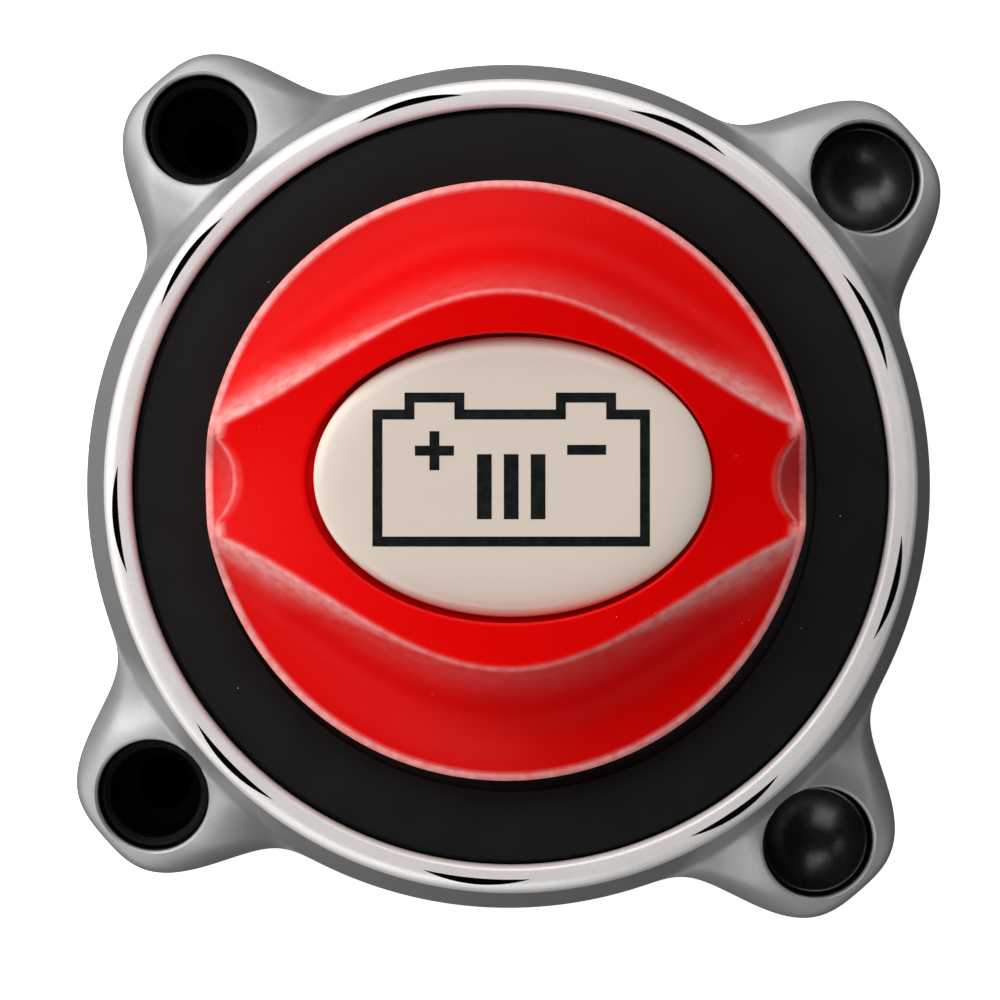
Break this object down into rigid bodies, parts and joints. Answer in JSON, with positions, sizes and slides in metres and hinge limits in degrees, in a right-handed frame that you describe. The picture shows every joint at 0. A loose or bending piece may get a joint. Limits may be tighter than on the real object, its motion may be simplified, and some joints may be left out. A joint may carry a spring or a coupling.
{
  "type": "battery isolator switch",
  "caption": "Surface-mounted rotary battery isolator: a round body with four screw ears, a recessed front ring and a removable knob with a dished oval grip.",
  "frame": {"origin": "centre of the flat rear mounting face, on the knob's axis", "axes": "+Z out of the front along the knob's axis, +X to the right and +Y up as the knob faces the viewer; the screw ears lie on the diagonals"},
  "size_m": [0.102, 0.102, 0.074],
  "materials": {
    "silver_paint": "satin metallic paint",
    "black_label": "satin",
    "black_plastic": "moulded",
    "black_cover": "fine moulded texture",
    "base_plastic": "glass-filled thermoset",
    "red_plastic": "fine moulded texture",
    "cream_label": "clear domed gloss",
    "white_acetal": "moulded",
    "copper": "bright copper",
    "tinned_copper": "tin plated",
    "silver_contact": "silver alloy",
    "stainless": "machined stainless",
    "spring_steel": "bright spring steel",
    "brass": "machined",
    "rubber": "matt"
  },
  "bodies": {
    "housing": {"housing": "black_plastic", "bezel": "silver_paint", "label_ring": "black_label", "rear_cover": "black_cover", "cover_screw_1": "stainless", "cover_screw_2": "stainless", "contact_base": "base_plastic", "base_seal": "rubber", "base_screw_1": "stainless", "base_screw_2": "stainless", "base_screw_3": "stainless", "base_screw_4": "stainless", "terminal_stud_a": "tinned_copper", "terminal_stud_b": "tinned_copper", "fixed_contact_a": "silver_contact", "fixed_contact_b": "silver_contact", "stud_seal_a": "rubber", "stud_seal_b": "rubber", "jam_nut_a": "brass", "jam_nut_b": "brass", "flat_washer_a": "stainless", "flat_washer_b": "stainless", "lock_washer_a": "stainless", "lock_washer_b": "stainless", "terminal_nut_a": "stainless", "terminal_nut_b": "stainless", "detent_spring_a": "spring_steel", "detent_spring_b": "spring_steel", "thrust_washer": "white_acetal", "shaft_seal": "rubber"},
    "rotor": {"rotor": "white_acetal", "contact_bridge": "copper", "moving_contact_a": "silver_contact", "moving_contact_b": "silver_contact", "contact_spring_a": "spring_steel", "contact_spring_b": "spring_steel"},
    "knob": {"knob": "red_plastic", "knob_label": "cream_label"}
  },
  "joints": [
    {"name": "knob_turn", "type": "hinge", "parent": "housing", "child": "rotor", "pos_m": [0, 0, 0.0485], "axis": [0, 0, 1], "range_deg": [-90, 0], "deforming": ["detent_spring_a", "detent_spring_b"]},
    {"name": "knob_pull", "type": "slide", "parent": "rotor", "child": "knob", "axis": [0, 0, 1], "range_m": [0, 0.012]}
  ]
}
